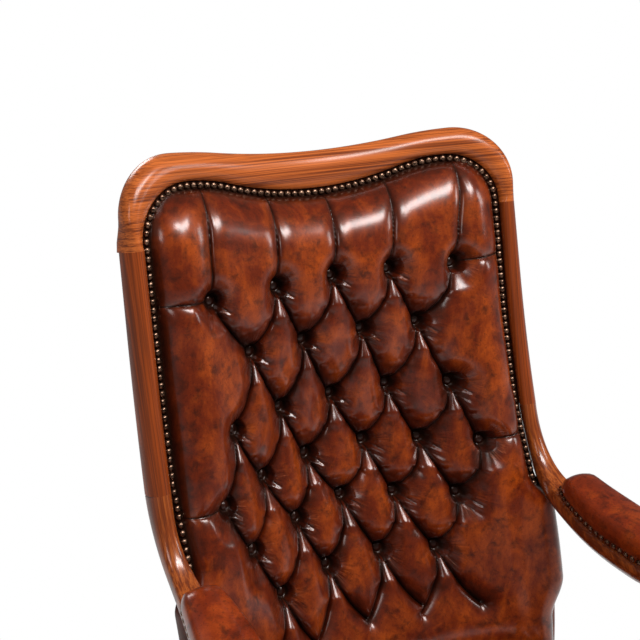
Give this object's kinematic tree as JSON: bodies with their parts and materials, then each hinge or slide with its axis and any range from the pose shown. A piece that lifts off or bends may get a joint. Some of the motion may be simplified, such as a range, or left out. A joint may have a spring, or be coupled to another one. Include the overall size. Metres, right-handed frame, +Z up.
{
  "type": "lounge chair",
  "caption": "Open armchair with a bowed show-wood back frame, deep buttoned leather back, swept arms with leather pads, stuffed seat, turned front legs and castors.",
  "frame": {"origin": "on the floor, under the middle of the whole chair's bounding box", "axes": "+Z up, -Y towards the front of the seat, +X to the right seen from the front"},
  "size_m": [0.665, 0.8157, 1.1113],
  "materials": {
    "rosewood": "French polished",
    "arm_wood": "French polished",
    "beech": "plain, unfinished",
    "hide": "hand dyed and waxed",
    "dark_hide": "hand dyed and waxed",
    "jute": "woven",
    "black_cloth": "woven",
    "old_brass": "aged",
    "steel": "plain"
  },
  "bodies": {
    "frame": {"crest_rail": "rosewood", "stile_left": "rosewood", "stile_right": "rosewood", "back_post_left": "rosewood", "back_post_right": "rosewood", "front_leg_left": "rosewood", "front_leg_right": "rosewood", "front_rail": "rosewood", "side_rail_left": "rosewood", "side_rail_right": "rosewood", "arm_left": "arm_wood", "arm_right": "arm_wood", "arm_support_left": "arm_wood", "arm_support_right": "arm_wood", "rear_rail": "beech", "corner_blocks": "beech", "seat_webbing": "jute", "seat_hessian": "jute", "back_webbing": "jute", "seat_springs": "steel", "seat_cushion": "hide", "back_cushion": "hide", "outside_back": "hide", "side_wrap_left": "hide", "side_wrap_right": "hide", "arm_pad_left": "hide", "arm_pad_right": "hide", "back_buttons": "dark_hide", "bottom_cloth": "black_cloth", "castor_cup_fl": "old_brass", "castor_cup_fr": "old_brass", "castor_cup_rl": "old_brass", "castor_cup_rr": "old_brass"},
    "castor_fl_swivel": {"castor_fork_fl": "old_brass", "castor_axle_fl": "steel"},
    "castor_fl_wheel": {"castor_wheel_fl": "old_brass"},
    "castor_fr_swivel": {"castor_fork_fr": "old_brass", "castor_axle_fr": "steel"},
    "castor_fr_wheel": {"castor_wheel_fr": "old_brass"},
    "castor_rl_swivel": {"castor_fork_rl": "old_brass", "castor_axle_rl": "steel"},
    "castor_rl_wheel": {"castor_wheel_rl": "old_brass"},
    "castor_rr_swivel": {"castor_fork_rr": "old_brass", "castor_axle_rr": "steel"},
    "castor_rr_wheel": {"castor_wheel_rr": "old_brass"}
  },
  "joints": [
    {"name": "castor_fl_turn", "type": "hinge", "parent": "frame", "child": "castor_fl_swivel", "pos_m": [-0.274, -0.3541, 0.04], "axis": [0, 0, 1], "continuous": true},
    {"name": "castor_fl_roll", "type": "hinge", "parent": "castor_fl_swivel", "child": "castor_fl_wheel", "pos_m": [-0.274, -0.3341, 0.017], "axis": [1, 0, 0], "continuous": true},
    {"name": "castor_fr_turn", "type": "hinge", "parent": "frame", "child": "castor_fr_swivel", "pos_m": [0.274, -0.3541, 0.04], "axis": [0, 0, 1], "continuous": true},
    {"name": "castor_fr_roll", "type": "hinge", "parent": "castor_fr_swivel", "child": "castor_fr_wheel", "pos_m": [0.274, -0.3341, 0.017], "axis": [1, 0, 0], "continuous": true},
    {"name": "castor_rl_turn", "type": "hinge", "parent": "frame", "child": "castor_rl_swivel", "pos_m": [-0.252, 0.2559, 0.04], "axis": [0, 0, 1], "continuous": true},
    {"name": "castor_rl_roll", "type": "hinge", "parent": "castor_rl_swivel", "child": "castor_rl_wheel", "pos_m": [-0.252, 0.2759, 0.017], "axis": [1, 0, 0], "continuous": true},
    {"name": "castor_rr_turn", "type": "hinge", "parent": "frame", "child": "castor_rr_swivel", "pos_m": [0.252, 0.2559, 0.04], "axis": [0, 0, 1], "continuous": true},
    {"name": "castor_rr_roll", "type": "hinge", "parent": "castor_rr_swivel", "child": "castor_rr_wheel", "pos_m": [0.252, 0.2759, 0.017], "axis": [1, 0, 0], "continuous": true}
  ]
}
